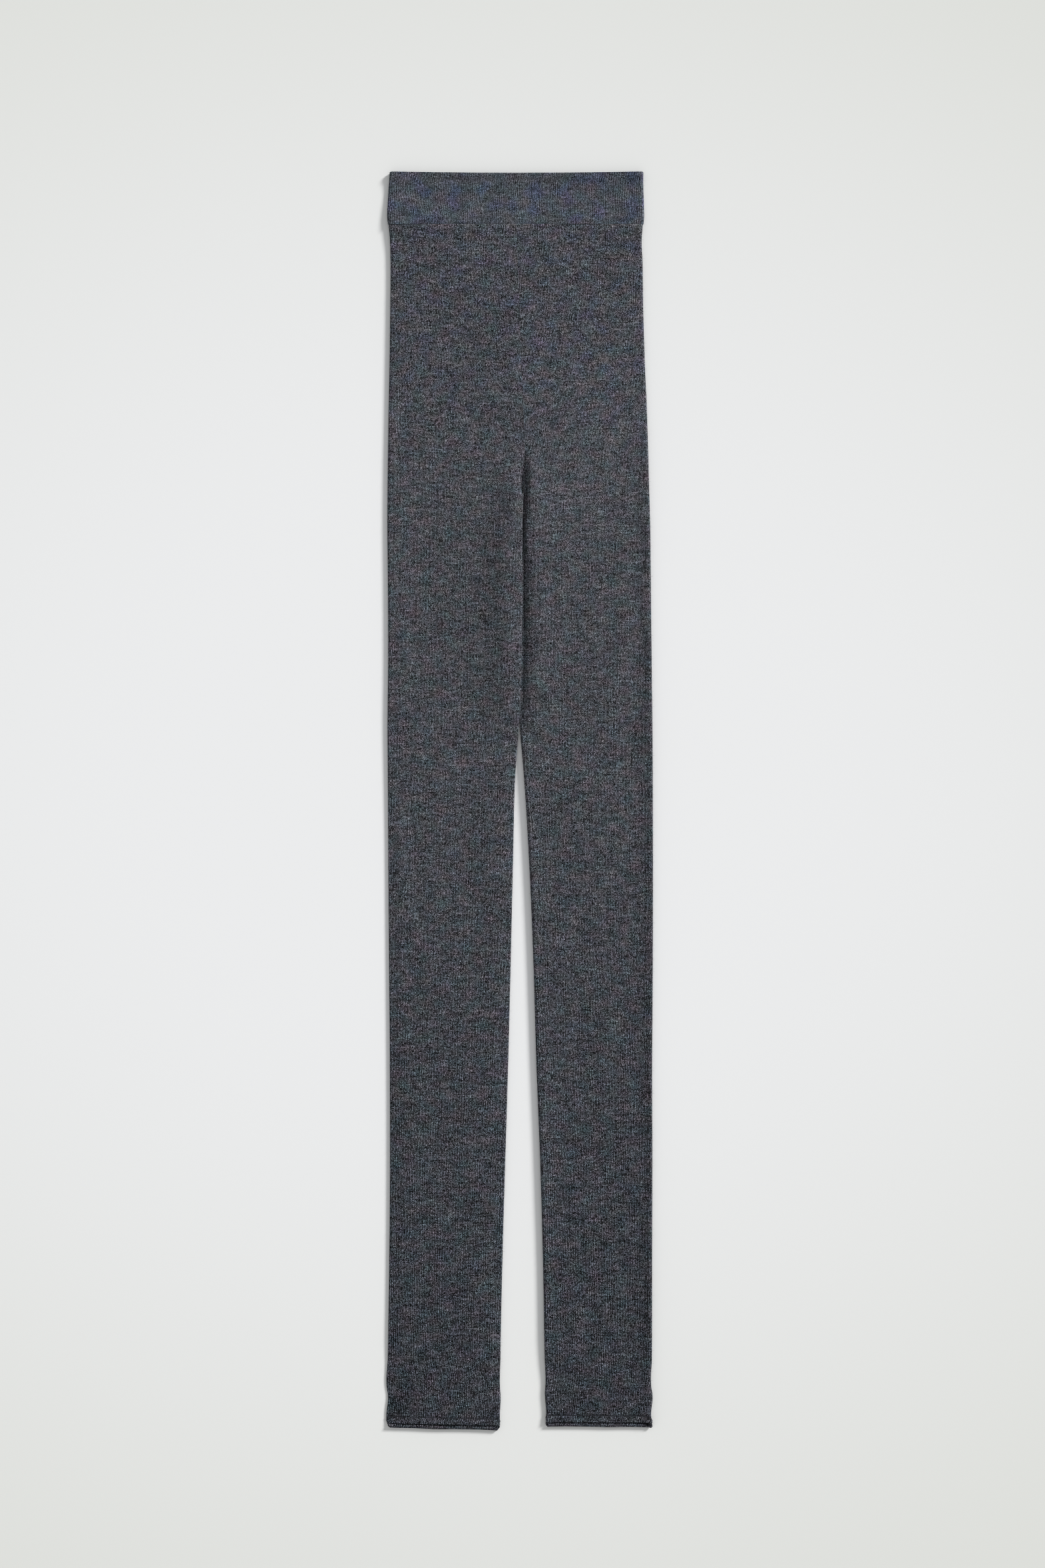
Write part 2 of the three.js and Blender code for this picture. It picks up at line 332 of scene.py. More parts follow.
def ring_columns(tip, front, fold, back):
    """For each column round a ring, the part of the ring that it is on and the place along that part."""
    near_crevice = CLOSE * np.linspace(0, 1, front // 3, endpoint=False)
    runs = [
        (TIP, np.linspace(1, 0, tip + 1)[:-1]),
        (FRONT, np.concatenate([near_crevice, CLOSE + (1 - CLOSE) * run(front - front // 3)])),
        (FOLD, np.linspace(0, 1, fold + 1)[1:-1]),
        (BACK, run(back)),
        (LAST_TIP, np.linspace(0, 1, tip + 1)[1:]),
    ]
    part = np.concatenate([np.full(len(t), which) for which, t in runs])
    return part, np.concatenate([t for _, t in runs])


def leg_ring(leg, down, columns):
    """The outer skin of a leg at each place down and each column: x, z, and 0 on the front to 1 on the
    back. The last result is how far each row is closed to a tube."""
    part, t = columns
    down = down[:, None]
    side, inner, outer = leg.side, leg.inner(down), leg.outer(down)
    inner_radius = outer_radius = FIRST_RADIUS
    for _ in range(3):
        inner_centre = inner - side * inner_radius
        outer_centre = outer + side * outer_radius
        tops = [leg.top(x, down) for x in (inner_centre, outer_centre)]
        bottoms = [leg.bottom(x, down) for x in (inner_centre, outer_centre)]
        inner_radius, outer_radius = [(a - b) / 2 for a, b in zip(tops, bottoms)]
    closed = ease(down, CROTCH - CLOSING, CROTCH)

    turn = t * math.pi / 2
    x_tip = inner_centre + side * inner_radius * blend(t, np.sin(turn), closed)
    sink = closed * inner_radius * (1 - np.cos(turn))
    x_front = blend(inner_centre, outer_centre, t)
    x_back = blend(outer_centre, inner_centre, t)
    x_fold = outer_centre - side * outer_radius * np.sin(t * math.pi)
    middle = (tops[1] + bottoms[1]) / 2
    z_tip = blend(leg.top(x_tip, down), tops[0], closed) - sink
    z_last = blend(leg.bottom(x_tip, down), bottoms[0], closed) + sink
    z_fold = middle + outer_radius * np.cos(t * math.pi)
    x = np.choose(part, [x_tip, x_front, x_fold, x_back, x_tip])
    z = np.choose(part, [z_tip, leg.top(x_front, down), z_fold, leg.bottom(x_back, down), z_last])
    round_back = np.choose(part, [ease(t, 0, 2), 0 * t, ease(t, 0, 0.55), 0 * t + 1, 1 - ease(t, 0, 2)])
    return x, z, np.broadcast_to(round_back, x.shape), closed[:, 0]


leg_columns = ring_columns(tip=6, front=66, fold=12, back=20)
print("columns round a leg:", len(leg_columns[0]))

# %% [markdown]
# ## The ankles
#
# At each ankle the back of the tube shows a few millimetres below the front, and the edge slants a little.
# Sliding the points along the leg by an amount that grows over the last stretch does this without a kink.

# %% Slide the ankle's points
HEM_STAGGER = 3.8
HEM_HEIGHT = 5.5
CORNER_INSET = 0.7  # the back's corners are drawn in by this much


def hem_end(leg):
    """How far down the front of an ankle ends, halfway across."""
    return below_waist(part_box(f"{leg.name}_hem")[0].y) - HEM_STAGGER - abs(leg.slant) / 2


def leg_skin(leg, down, columns):
    """Points of a leg's outer skin, how far each row is closed, and two shares for each point:
    how far round to the back it is, and how far across from the middle to the inner edge."""
    x, z, round_back, closed = leg_ring(leg, down, columns)
    outer, inner = leg.outer(down)[:, None], leg.inner(down)[:, None]
    across = (x - outer) / (inner - outer) - 0.5
    amount = ease(down, 940, 1005)[:, None]
    wavy = 0.25 * ripples(x, 0 * x, 34, leg.seed + 5) * ease(down, 985, 1010)[:, None]
    slid = down[:, None] + amount * (HEM_STAGGER * round_back + leg.slant * across) + wavy * round_back
    near_end = ease(down, hem_end(leg) - 5, hem_end(leg))[:, None] ** 2
    x = x - np.sign(across) * CORNER_INSET * near_end * round_back * (2 * np.abs(across)) ** 6
    return np.stack([x, waist_edge - slid, z], axis=-1), closed, round_back, across


print("ankle fronts end", [round(hem_end(leg), 1) for leg in (right, left)], "mm down")

# %% [markdown]
# ## From a skin to a wall of cloth
#
# A single skin has no thickness, and would look like paper. The Solidify modifier could thicken it, but its
# rims are square. Knit rolls over at an edge, so the inner skin is placed along the outer skin's normals,
# and the rims are half circles from one skin to the other.


# %% Build a closed wall
COURSE = 0.93  # the height of one row of stitches


def normals_of(skin, closed):
    """Unit normals of a grid of points. Rows that are closed wrap round from the last column to the first."""
    across = np.gradient(skin, axis=1)
    wrapped = (skin[:, 1] - skin[:, -2]) / 2
    whole = (closed >= 1)[:, None]
    across[:, 0] = np.where(whole, wrapped, across[:, 0])
    across[:, -1] = np.where(whole, wrapped, across[:, -1])
    normal = np.cross(across, np.gradient(skin, axis=0))
    normal /= np.linalg.norm(normal, axis=-1, keepdims=True)
    highest = np.unravel_index(skin[..., 2].argmax(), skin.shape[:2])
    return normal * np.sign(normal[highest][2])


def rim(skin, normal, row, along, thick, steps):
    """Rows of points in a half circle from the outer skin's edge to the inner skin's, and how far round
    each row is."""
    turns = [math.pi * (k + 1) / (steps + 1) for k in range(steps)]
    out = [along * math.sin(a) - normal[row] * (1 - math.cos(a)) for a in turns]
    return [skin[row] + thick[row] / 2 * step for step in out], [thick[row, :, 0] / 2 * a for a in turns]


def wall(skin, closed, thick, start_steps, end_steps):
    """A closed wall: its points, its faces, each layer's row in the skin and how far it is past that row,
    and how many faces are outside."""
    rows, columns = skin.shape[:2]
    thick = np.broadcast_to(thick, (rows, columns))[..., None]
    normal = normals_of(skin, closed)
    heading = np.gradient(skin, axis=0)
    heading /= np.linalg.norm(heading, axis=-1, keepdims=True)
    inner = skin - normal * thick
    end_rim, past_end = rim(skin, normal, -1, heading[-1], thick, end_steps)
    start_rim, before_start = rim(skin, normal, 0, -heading[0], thick, start_steps)
    layers = [*skin, *end_rim, *inner[::-1], *start_rim[::-1]]
    order = [*range(rows), *[rows - 1] * end_steps, *range(rows)[::-1], *[0] * start_steps]
    past = np.zeros((len(layers), columns))
    past[rows : rows + end_steps] = np.reshape(past_end, (end_steps, columns))
    past[len(layers) - start_steps :] = -np.reshape(before_start[::-1], (start_steps, columns))

    count = len(layers)
    i, j = np.meshgrid(np.arange(count), np.arange(columns - 1), indexing="ij")
    below = (i + 1) % count
    quads = np.stack([i * columns + j, i * columns + j + 1, below * columns + j + 1, below * columns + j], -1)
    quads = quads.reshape(-1, 4)
    is_open = np.flatnonzero(closed[:-1] < 1)
    outside = is_open * columns
    inside = (2 * rows + end_steps - 1 - is_open) * columns
    first = np.stack([outside, outside + columns, inside - columns, inside], -1)
    last = first[:, ::-1] + columns - 1
    quads = np.concatenate([quads, first, last])
    return np.concatenate(layers), quads, np.array(order), past, (rows - 1) * (columns - 1)


def signed_volume(points, quads):
    """The volume inside a mesh, below 0 where its faces look inwards."""
    a, b, c, d = (points[quads[:, k]] for k in range(4))
    return (np.cross(b - a, c - a) * a).sum() / 6 + (np.cross(c - a, d - a) * a).sum() / 6


def cloth_piece(name, skin, closed, thick, knit, start_steps=0, end_steps=0):
    """A cloth object from its outer skin. knit holds each skin point's wale and course numbers."""
    points, quads, order, past, outside = wall(skin, closed, thick, start_steps, end_steps)
    stitch = knit[order]
    stitch[..., 1] += past / COURSE
    stitch = stitch.reshape(-1, 2)
    if signed_volume(points, quads) < 0:
        quads = quads[:, ::-1]
    _, kept, merged = np.unique(np.round(points, 4), axis=0, return_index=True, return_inverse=True)
    merged = merged.ravel()
    mesh = bpy.data.meshes.new(name)
    mesh.from_pydata((points[kept] * MM).tolist(), [], merged[quads].tolist())
    mesh.uv_layers.new(name="knit").uv.foreach_set("vector", stitch[quads.ravel()].ravel())
    mesh.attributes.new("wale", "FLOAT", "POINT").data.foreach_set("value", stitch[kept, 0])
    seen = np.arange(len(quads)) < outside
    mesh.attributes.new("outside", "BOOLEAN", "FACE").data.foreach_set("value", seen)
    mesh.polygons.foreach_set("use_smooth", np.ones(len(quads), bool))
    mesh.update()
    volume = signed_volume(points, quads) / 1000
    print(f"{name}: {2 * len(quads)} triangles, {volume:+.1f} cubic cm,",
          "problems mended" if mesh.validate() else "mesh is sound")
    return add_object(name, mesh)


# %% [markdown]
# ## Counting stitches
#
# A knit's pattern follows the cloth round its folds, so each point needs its stitch number: the wale, counted
# from the side fold, and the course, counted from the waist. They are kept as a UV map named "knit".

# %% Wale and course numbers
WALE_PITCH = table(
    "down pitch",
    (20, 1.347),
    (43, 1.33),
    (104, 1.285),
    (180, 1.215),
    (255, 1.155),
    (347, 1.16),
    (595, 1.226),
    (822, 1.31),
    (1020, 1.395),
)
LEFT_START = 400  # the left leg's numbers start here, so the two legs don't show the same flecks
wale_pitch = curve_of(WALE_PITCH, "pitch")


def lengths_round(skin):
    """How far each point is along its ring, from the first column."""
    steps = np.linalg.norm(np.diff(skin, axis=1), axis=-1)
    return np.concatenate([np.zeros((len(skin), 1)), np.cumsum(steps, axis=1)], axis=1)


def leg_stitches(leg, skin, columns):
    """Stitch numbers on a leg: wales from the side fold, positive on the front, and the courses."""
    part, t = columns
    along = lengths_round(skin)
    fold_middle = np.flatnonzero((part == FOLD) & (np.abs(t - 0.5) < 1e-6))[0]
    from_fold = along[:, fold_middle : fold_middle + 1] - along
    down = waist_edge - skin[..., 1]
    pitch = wale_pitch(down)
    widening = (wale_pitch(down + 1) - wale_pitch(down - 1)) / 2
    course = (down + 0.5 * from_fold**2 * widening / pitch) / COURSE
    start = LEFT_START if leg.side < 0 else 0
    return np.stack([start + from_fold / pitch, start + course], axis=-1)


print("wales across a leg at the hip and the ankle:",
      *(round((right_inner(down) - right_outer(down)) / wale_pitch(down)) for down in (60, 1000)))

# %% [markdown]
# ## The legs and their hems
#
# The rows stand closest together at the crotch, where the form changes. The hem is cut from the same skin
# as the leg, so their outsides meet without a step. Its wall is thicker, because it is doubled.

# %% Make the two legs and the two hems
HEM_CLOTH = 1.5
ROLL = 3.1  # thickness of the rolled back edge
HEM_ROWS = 18


def stretch(start, end, spacing):
    """Evenly spaced places from start up to, but not at, the end."""
    return np.linspace(start, end, max(1, round((end - start) / spacing)), endpoint=False)


def make_leg(leg):
    last = hem_end(leg) - HEM_HEIGHT
    stops = [BAND_BOTTOM - 0.25, 72, 205, 226, 300, 480, 985, last]
    spacings = [2.2, 3.2, 2, 1.2, 2.6, 3.4, 1.7]  # between each stop and the next
    rows = [stretch(*each) for each in zip(stops, stops[1:], spacings)]
    skin, closed, _, _ = leg_skin(leg, np.concatenate([*rows, [last]]), leg_columns)
    return cloth_piece(f"{leg.name}_leg_cloth", skin, closed, CLOTH, leg_stitches(leg, skin, leg_columns))


def make_hem(leg):
    """The hem. Its back edge rolls up where it shows below the front, so its wall grows thicker there."""
    columns = ring_columns(tip=10, front=96, fold=20, back=72)
    down = np.linspace(hem_end(leg) - HEM_HEIGHT, hem_end(leg) - HEM_CLOTH / 2, HEM_ROWS)
    skin, closed, round_back, across = leg_skin(leg, down, columns)
    towards_end = np.linspace(0, 1, len(down))[:, None]
    skin[..., 1] += (ROLL - HEM_CLOTH) / 2 * round_back * towards_end
    beyond_front = (waist_edge - skin[..., 1]) - (hem_end(leg) + leg.slant * across)
    thick = HEM_CLOTH + (ROLL - HEM_CLOTH) * ease(beyond_front, 0.1, 1.7) * round_back**2
    knit = leg_stitches(leg, skin, columns)
    return cloth_piece(f"{leg.name}_hem_cloth", skin, closed, thick, knit, end_steps=9)


right_leg, left_leg = make_leg(right), make_leg(left)
right_hem, left_hem = make_hem(right), make_hem(left)

# %% [markdown]
# ## The waistband
#
# The band is a tube of ribbed-looking knit, folded double at the waist edge. The fold and the seam below are
# its thick places, and between them it sinks a little. Its waist edge hangs about a millimetre lower in the
# middle than at the corners.

# %% The waistband's own rings
BAND_CLOTH = 1.3
BAND_PITCH = 1.404
WAIST_DIP = 1.1
BAND_HEIGHTS = table(
    "down up",
    (0, 5.0),
    (2, 4.85),
    (7, 3.65),
    (13, 3.2),
    (24, 3.45),
    (36, 4.2),
    (40, 4.35),
    (43, 4.25),
)
band_height = curve_of(BAND_HEIGHTS, "up")


def band_skin(down, columns):
    """Points of the waistband's outer skin: front, fold, back, fold."""
    down = down[:, None]
    low, high = band_low_x(down), band_high_x(down)
    radius = band_height(down) / 2
    quarter = columns // 4
    t = run(quarter * 2 - 24)
    turn = np.linspace(0, math.pi, 25)[1:-1]
    x_front = blend(high - radius, low + radius, t)
    swell = 0.12 * ripples(x_front, down, 26, 41) + 0.3 * ripples(x_front, down, 90, 42)
    swell = swell * ease(x_front, low, low + 14) * ease(x_front, high, high - 14) * ease(down, 0, 5)
    out, up = radius * np.sin(turn), radius * np.cos(turn)
    x = [x_front, low + radius - out, x_front[:, ::-1], high - radius + out]
    z = [2 * radius + swell, radius + up, 0 * x_front, radius - up]
    x, z = np.concatenate(x, axis=1), np.concatenate(z, axis=1)
    dip = WAIST_DIP * np.sin(math.pi * np.clip((x - low) / (high - low), 0, 1)) * ease(down, 20, 0)
    skin = np.stack([x, waist_edge - down - dip, z], axis=-1)
    return np.concatenate([skin, skin[:, :1]], axis=1)


inner_rows = [3, 5, 7, 9.5, 12, 15, 18, 21, 24, 27, 30, 33, 35.5, 38, 40]
band_rows = np.array([BAND_CLOTH / 2, *inner_rows, BAND_BOTTOM - BAND_CLOTH / 2])
skin = band_skin(band_rows, columns=1180)
along = lengths_round(skin)
band_wales = round(along[-1, -1] / BAND_PITCH)
courses = (waist_edge - skin[..., 1]) / COURSE
band_knit = np.stack([along / along[:, -1:] * band_wales, courses], axis=-1)
plain_band = cloth_piece("plain_band", skin, np.ones(len(skin)), BAND_CLOTH, band_knit, 6, 6)
print("wales round the waistband:", band_wales)

# %% [markdown]
# ## Node trees written as sums
#
# Shaders and Geometry Nodes are networks of small sums. One class wraps an output socket and turns plain
# Python arithmetic into Math nodes. Another makes any node from its type, the values or links of its
# sockets, and its settings.


# %% Arithmetic on sockets
def operation(name, swapped=False):
    """A method that makes one kind of Math node from a socket and another value."""
    def method(self, *values):
        values = (*values, self) if swapped else (self, *values)
        return self.tree.node("ShaderNodeMath", dict(enumerate(values)), operation=name)

    return method


class Signal:
    """An output socket that can be added, multiplied and so on."""

    def __init__(self, tree, socket):
        self.tree = tree
        self.socket = socket

    def out(self, name):
        """Another output of the same node."""
        return Signal(self.tree, self.socket.node.outputs[name])

    __add__ = __radd__ = operation("ADD")
    __mul__ = __rmul__ = operation("MULTIPLY")
    __sub__ = operation("SUBTRACT")
    __rsub__ = operation("SUBTRACT", swapped=True)
    __truediv__ = operation("DIVIDE")
    __pow__ = operation("POWER")
    floor = operation("FLOOR")
    fraction = operation("FRACT")
    size = operation("ABSOLUTE")
    cosine = operation("COSINE")
    at_least = operation("MAXIMUM")
    above = operation("GREATER_THAN")


class Tree:
    """A node tree, and the methods that add nodes to it."""

    def __init__(self, tree):
        self.tree = tree

    def node(self, kind, values=None, **settings):
        """A new node. Its first output comes back, or the node itself where it has none."""
        made = self.tree.nodes.new(kind)
        for key, value in settings.items():
            setattr(made, key, value)
        for key, value in (values or {}).items():
            if isinstance(value, Signal):
                self.tree.links.new(value.socket, made.inputs[key])
            else:
                made.inputs[key].default_value = value
        shown = [s for s in made.outputs if s.enabled]
        return Signal(self, shown[0]) if shown else made

    def vector(self, x, y, z=0.0):
        return self.node("ShaderNodeCombineXYZ", {"X": x, "Y": y, "Z": z})

    def parts(self, vector):
        """The x of a vector. The same node's other outputs are its Y and Z."""
        return self.node("ShaderNodeSeparateXYZ", {0: vector})

    def vector_maths(self, operation, *values):
        return self.node("ShaderNodeVectorMath", dict(enumerate(values)), operation=operation)

    def scaled(self, vector, factor):
        return self.node("ShaderNodeVectorMath", {0: vector, "Scale": factor}, operation="SCALE")

    def mixed(self, share, a, b):
        """a where share is 0, and b where it is 1, as blend does."""
        return self.node("ShaderNodeMix", {"Factor": share, 4: a, 5: b}, data_type="VECTOR").out(1)

    def smooth(self, value, start, end, before=0.0, after=1.0):
        """before up to start, after beyond end, and smooth between, as ease does."""
        return self.node("ShaderNodeMapRange", {
            "Value": value, "From Min": start, "From Max": end, "To Min": before, "To Max": after,
        }, interpolation_type="SMOOTHSTEP")

    def noise(self, place, detail=1.0, scale=1.0, dimensions="3D"):
        return self.node("ShaderNodeTexNoise", {
            "Vector": place, "Scale": scale, "Detail": detail}, noise_dimensions=dimensions)

    def draw(self, x, y):
        """A random number from 0 to 1 for each pair of whole numbers."""
        return self.node("ShaderNodeTexWhiteNoise", {"Vector": self.vector(x, y)}, noise_dimensions="2D")

    def attribute(self, name, kind):
        return self.node("GeometryNodeInputNamedAttribute", {"Name": name}, data_type=kind)


def linear(*srgb):
    """A colour given as on a screen, 0 to 255, in the linear numbers that a shader uses."""
    return [(c / 255 / 12.92 if c < 11 else ((c / 255 + 0.055) / 1.055) ** 2.4) for c in srgb]


def start_material(name, kind=Tree):
    """A new material with nothing in it, and its tree."""
    material = bpy.data.materials.new(name)
    material.use_nodes = True
    material.node_tree.nodes.clear()
    return material, kind(material.node_tree)


def end_material(tree, values):
    """Ends a material's tree with one surface."""
    surface = tree.node("ShaderNodeBsdfPrincipled", values)
    tree.node("ShaderNodeOutputMaterial", {"Surface": surface})


# %% [markdown]
# ## The knit
#
# Jersey shows columns of small V shapes, with one V for each course. So the finish starts with where a point
# lies in its stitch, which its stitch numbers say. Its place on the garment serves only for what changes
# down a leg and for a few broad patches of painted light and shade.

# %% Where a point lies in its stitch
LEAN = 0.9  # courses by which the sides of a V lie behind its middle
WANDER = 1.6  # wales by which a column strays from straight


class Knit(Tree):
    """A material's tree that knows where in its stitch, and where on the garment, each point lies."""

    def __init__(self, tree):
        super().__init__(tree)
        self.place = self.parts(self.node("ShaderNodeUVMap", uv_map="knit"))
        self.course = self.place.out("Y")
        wander = self.noise(self.vector(self.place * 0.11, self.course * 0.03), dimensions="2D")
        self.wale = self.place + WANDER * (wander - 0.5)
        self.from_middle = (self.wale.fraction() - 0.5).size()  # 0 in the middle of a wale, 0.5 between two
        self.leaning = self.course + self.from_middle * LEAN
        across = 1 - ((self.from_middle - 0.25) * 4) ** 2.0
        along = 1 - (self.leaning.fraction() * 2 - 1) ** 4.0
        self.strand_height = across.at_least(0.0) * (0.55 + 0.45 * along)
        self.hairs = self.cloudy(5.3, 4.1, 2.0)
        self.x = self.parts(self.node("ShaderNodeTexCoord").out("Object"))
        self.y = self.x.out("Y")

    def cloudy(self, across, along, detail=0.0, seed=0.0):
        """A soft noise, 0 to 1. across and along are how often it changes for each wale and course."""
        return self.noise(self.vector(self.wale * across, self.course * along, seed), detail)

    def along_leg(self, start, end, before, after):
        """before above the height start, after below the height end, both in metres."""
        return self.smooth(self.y, start, end, before, after)


print("a stitch is about", WALE_PITCH[0]["pitch"], "mm across and", COURSE, "mm high")

# %% [markdown]
# ### How light the yarn is
#
# The yarn is spun from fibres of several greys. Every strand has its own shade, and light and dark lengths of
# yarn show as short streaks along a course. The furrows between wales and the gaps between strands are
# painted darker, as painted shade, and a few broad patches of painted light and shade follow the larger
# slopes and edges. Such small steps are added up as a screen shows them, and only then turned into light.

# %% Shades of the yarn
PAINTED_LIGHT_PATCHES = table(  # places in mm where the cloth is painted lighter or darker, as painted light and shade of its slopes and edges
    "x y across along lighter",
    (55, 300, 60, 90, 0.045),
    (-45, 165, 35, 80, -0.045),
    (-33, -68, 30, 75, -0.03),
    (25, -320, 11, 125, 0.05),
    (-105, -492, 12, 24, -0.2),
)
SCREEN_GAMMA = 2.2
DARKEST = 0.08
SIDE_FOLD_PAINTED_SHADE = 0.91  # painted shade: how light the left leg is painted within a few wales of its side fold, where it slopes from the light


def painted_light_patch(knit, patch):
    """How much one broad soft patch paints the cloth lighter or darker, as painted light and shade."""
    right_of = (knit.x - patch["x"] * MM) / (patch["across"] * MM)
    above = (knit.y - patch["y"] * MM) / (patch["along"] * MM)
    away = (right_of**2.0 + above**2.0) ** 0.5
    return knit.smooth(away, 0.3, 1.7, patch["lighter"], 0.0)


def yarn_light(knit, fleck, fibre, streak, line, at_hip):
    """How light the yarn is at each point, around 1."""
    row = knit.leaning.floor()
    uneven = [
        (fleck, knit.draw((knit.wale * 2).floor(), row)),
        (streak, knit.noise(knit.vector(knit.wale * 0.12, row * 7.31), dimensions="2D")),
        (fibre, knit.draw((knit.wale * 4.3).floor(), (knit.leaning * 1.7).floor())),
        (0.35, knit.hairs),
        (0.2, knit.cloudy(0.06, 0.075, 1.0)),
        (0.28, knit.cloudy(0.1, 0.3, seed=6.0)),
    ]
    light = sum(share * (shade - 0.5) for share, shade in uneven)
    # painted shade: the furrows between wales are darkened, as shade would fall in them
    painted_furrow_shade = (knit.wale * (2 * math.pi)).cosine()
    light -= knit.along_leg(0.36, 0.25, line * at_hip, line) * painted_furrow_shade
    light = 1 + light * knit.along_leg(0.2, -0.5, 1.0, 1.35)
    # painted light and shade: broad patches lighter or darker where the cloth's slopes and edges catch or
    # lose the light
    for patch in PAINTED_LIGHT_PATCHES:
        light += painted_light_patch(knit, patch)
    # painted shade: the gaps between strands are darkened, as shade would fall in them
    light *= 0.8 + 0.28 * knit.strand_height
    # painted shade: the left leg is darkened near its side fold, where the cloth slopes away from the light
    painted_fold_shade = knit.smooth((knit.place - LEFT_START).size(), 9.0, 2.0, 1.0, SIDE_FOLD_PAINTED_SHADE)
    painted_fold_shade = 1 - (1 - painted_fold_shade) * knit.along_leg(0.33, 0.26, 0.0, 1.0)
    return (light * painted_fold_shade).at_least(DARKEST) ** SCREEN_GAMMA


# %% [markdown]
# ### Its hue, and the finish
#
# Large cloudy patches lean to blue, green or brown, and the base colour grows darker towards the ankle.
# The relief is only a bump, a tenth as high as a stitch is wide.

# %% The knit's finish
WOOL = {"Roughness": 0.95, "Specular IOR Level": 0.1, "Sheen Weight": 0.05, "Sheen Roughness": 0.45}
TINT_RANGE, TINT_LEAST = (0.6, 0.19, 0.11), (0.7, 0.905, 0.945)
BLUER = (0.92, 0.96, 1.22)


def yarn_hue(knit, colour, ankle_colour, blue):
    """The yarn's colour where its light is 1."""
    tint = knit.vector_maths(
        "MULTIPLY_ADD", knit.cloudy(0.125, 0.1, seed=4.0).out("Color"), TINT_RANGE, TINT_LEAST)
    base = knit.mixed(knit.along_leg(0.25, -0.52, 0.0, 1.0), linear(*colour), linear(*ankle_colour))
    shade = knit.vector_maths("MULTIPLY", tint, base)
    patch = knit.smooth(knit.cloudy(0.105, 0.085, seed=9.0), 0.45, 0.75)
    share = patch * knit.along_leg(0.36, 0.26, blue, blue * 0.2)
    return knit.mixed(share, shade, knit.vector_maths("MULTIPLY", shade, BLUER))


def knit_finish(name, colour, ankle_colour, fleck, fibre, streak, line, blue, relief, at_hip=1.0):
    """A heather jersey knit. fleck, fibre, streak and blue say how strongly single strands, fibres, lengths
    of yarn and blue patches stand out, and line how dark the furrows between wales are painted, as painted
    shade. at_hip weakens those lines there."""
    material, knit = start_material(name, Knit)
    light = yarn_light(knit, fleck, fibre, streak, line, at_hip)
    shade = knit.scaled(yarn_hue(knit, colour, ankle_colour, blue), light)
    ridge = 1 - (knit.from_middle * 2) ** 3.0
    height = ridge * 0.55 + knit.strand_height * 0.45 + 0.12 * knit.hairs
    bump = knit.node("ShaderNodeBump", {"Strength": 1.0, "Distance": relief * MM, "Height": height})
    end_material(knit, {"Base Color": shade, "Normal": bump, **WOOL})
    return material


leg_finish = knit_finish(
    "leg_jersey", (60.3, 61.4, 65.7), (41.2, 43, 47.2), fleck=0.8, fibre=1.8, streak=0.95, line=0.54,
    blue=0.6, relief=0.12, at_hip=0.7)
band_finish = knit_finish(
    "band_rib", (68.3, 71.5, 77.4), (68.3, 71.5, 77.4), fleck=0.5, fibre=1.1, streak=0.48, line=0.33,
    blue=1.0, relief=0.14)
for piece in (right_leg, left_leg, right_hem, left_hem):
    piece.data.materials.append(leg_finish)
print("knit finishes:", [m.name for m in bpy.data.materials if m.users])

# %% [markdown]
# ## Geometry Nodes: what repeats
#
# The waistband's ribs, the linking chain and the fuzz each repeat one small form. Each has a tree with named
# inputs for its sizes, and the result is frozen into a plain mesh, so the export sees ordinary faces.


# %% Start a tree and freeze its result
def geometry_tree(name, inputs):
    """A new Geometry Nodes tree with a geometry socket at each end, and an input for each name and kind."""
    group = bpy.data.node_groups.new(name, "GeometryNodeTree")
    for way in ("INPUT", "OUTPUT"):
        group.interface.new_socket("Geometry", in_out=way, socket_type="NodeSocketGeometry")
    for label, kind in inputs.items():
        group.interface.new_socket(label, in_out="INPUT", socket_type=f"NodeSocket{kind}")
    tree = Tree(group)
    return group, tree, tree.node("NodeGroupInput")


def finish_tree(tree, geometry, entry):
    """Makes the instances real, gives them the material, and ends the tree."""
    real = tree.node("GeometryNodeRealizeInstances", {0: geometry})
    dressed = tree.node("GeometryNodeSetMaterial", {
        "Geometry": real, "Material": entry.out("Material")})
    tree.node("NodeGroupOutput", {0: dressed})


def grown(name, host, group, values):
    """The plain mesh that a tree makes from a host object, as a new object."""
    modifier = host.modifiers.new(group.name, "NODES")
    modifier.node_group = group
    for item in group.interface.items_tree:
        if item.item_type == "SOCKET" and item.in_out == "INPUT" and item.name in values:
            modifier[item.identifier] = values[item.name]
    depsgraph = bpy.context.evaluated_depsgraph_get()
    mesh = bpy.data.meshes.new_from_object(host.evaluated_get(depsgraph), depsgraph=depsgraph)
    host.modifiers.remove(modifier)
    mesh.name = name
    print(f"{name}: {sum(len(p.vertices) - 2 for p in mesh.polygons)} triangles")
    return add_object(name, mesh)


def thread_form(tree, places, steps, radius, sides):
    """A thin thread along a short curve. places are its start, two handles and its end."""
    names = ("Start", "Start Handle", "End Handle", "End")
    curve = tree.node("GeometryNodeCurvePrimitiveBezierSegment", {
        "Resolution": steps, **dict(zip(names, places))}, mode="POSITION")
    ring = tree.node("GeometryNodeCurvePrimitiveCircle", {
        "Resolution": sides, "Radius": radius}, mode="RADIUS")
    return tree.node("GeometryNodeCurveToMesh", {
        "Curve": curve, "Profile Curve": ring, "Fill Caps": True})


# %% [markdown]
# ### The ribs of the waistband
#
# The band's wales stand up like fine ribs. Its mesh has four columns of points to each wale, and a wave on
# the wale number lifts them. Pushing points out along their normals keeps the ribs upright on the folds
# too, where a plain height map would smear.

